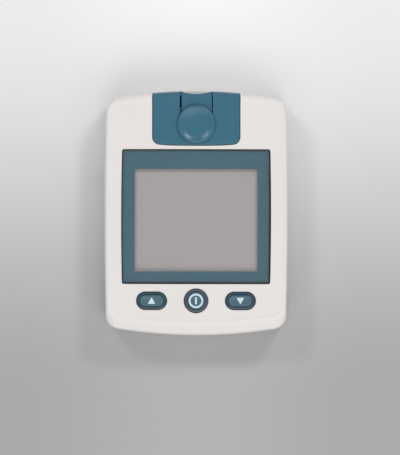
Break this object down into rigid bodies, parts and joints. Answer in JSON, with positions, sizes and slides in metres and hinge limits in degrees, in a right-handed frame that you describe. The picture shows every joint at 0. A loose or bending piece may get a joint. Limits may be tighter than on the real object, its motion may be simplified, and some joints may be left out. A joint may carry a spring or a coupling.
{
  "type": "blood glucose meter",
  "caption": "Palm-size blood glucose meter: large display, keys that press, a strip ejector that slides and a battery door that tilts open.",
  "frame": {"origin": "middle of the back face that the meter lies on", "axes": "+Z out of the display, +Y to the strip port's end, +X to the right seen from the front"},
  "size_m": [0.0646, 0.086, 0.0188],
  "materials": {
    "shell_white": "satin",
    "cover_teal": "satin",
    "key_teal": "gloss",
    "clear_window": "polished",
    "border_print": "satin",
    "display_glass": "polished",
    "black_foam": "matte",
    "tray_white": "matte",
    "zebra": "matte",
    "board_green": "satin",
    "chip_black": "matte",
    "small_parts": "satin",
    "spring_steel": "satin",
    "contact_gold": "polished",
    "connector_cream": "matte",
    "key_rubber": "matte",
    "carbon": "matte",
    "jack_black": "satin",
    "cell_steel": "polished",
    "screw_steel": "satin"
  },
  "bodies": {
    "housing": {"front_shell": "shell_white", "rear_shell": "shell_white", "display_window": "clear_window", "window_mask": "border_print", "lcd_gasket": "black_foam", "lcd_glass": "display_glass", "lcd_frame": "tray_white", "zebra_strips": "zebra", "circuit_board": "board_green", "microcontroller": "chip_black", "board_parts": "small_parts", "buzzer": "chip_black", "strip_port_cover": "cover_teal", "ejector_springs": "spring_steel", "strip_connector": "connector_cream", "strip_contacts": "contact_gold", "key_web_up": "key_rubber", "key_web_power": "key_rubber", "key_web_down": "key_rubber", "keypad_mat": "key_rubber", "data_jack": "jack_black", "coin_cell_left": "cell_steel", "coin_cell_right": "cell_steel", "cell_contacts": "contact_gold", "housing_screws": "screw_steel"},
    "key_up": {"button_up": "key_teal", "key_plunger_up": "carbon"},
    "key_power": {"button_power": "key_teal", "key_plunger_power": "carbon"},
    "key_down": {"button_down": "key_teal", "key_plunger_down": "carbon"},
    "ejector": {"ejector_slider": "cover_teal"},
    "door": {"battery_door": "shell_white"}
  },
  "joints": [
    {"name": "press_up", "type": "slide", "parent": "housing", "child": "key_up", "axis": [0, 0, -1], "range_m": [0, 0.0006], "stiffness_N_per_m": 600, "springref_m": -0.0003, "deforming": ["key_web_up"]},
    {"name": "press_power", "type": "slide", "parent": "housing", "child": "key_power", "axis": [0, 0, -1], "range_m": [0, 0.0006], "stiffness_N_per_m": 600, "springref_m": -0.0003, "deforming": ["key_web_power"]},
    {"name": "press_down", "type": "slide", "parent": "housing", "child": "key_down", "axis": [0, 0, -1], "range_m": [0, 0.0006], "stiffness_N_per_m": 600, "springref_m": -0.0003, "deforming": ["key_web_down"]},
    {"name": "eject", "type": "slide", "parent": "housing", "child": "ejector", "axis": [0, 1, 0], "range_m": [0, 0.0035], "stiffness_N_per_m": 200, "springref_m": -0.001, "deforming": ["ejector_springs"]},
    {"name": "door_tilt", "type": "hinge", "parent": "housing", "child": "door", "pos_m": [0, -0.03, 0], "axis": [-1, 0, 0], "range_deg": [0, 70]}
  ]
}
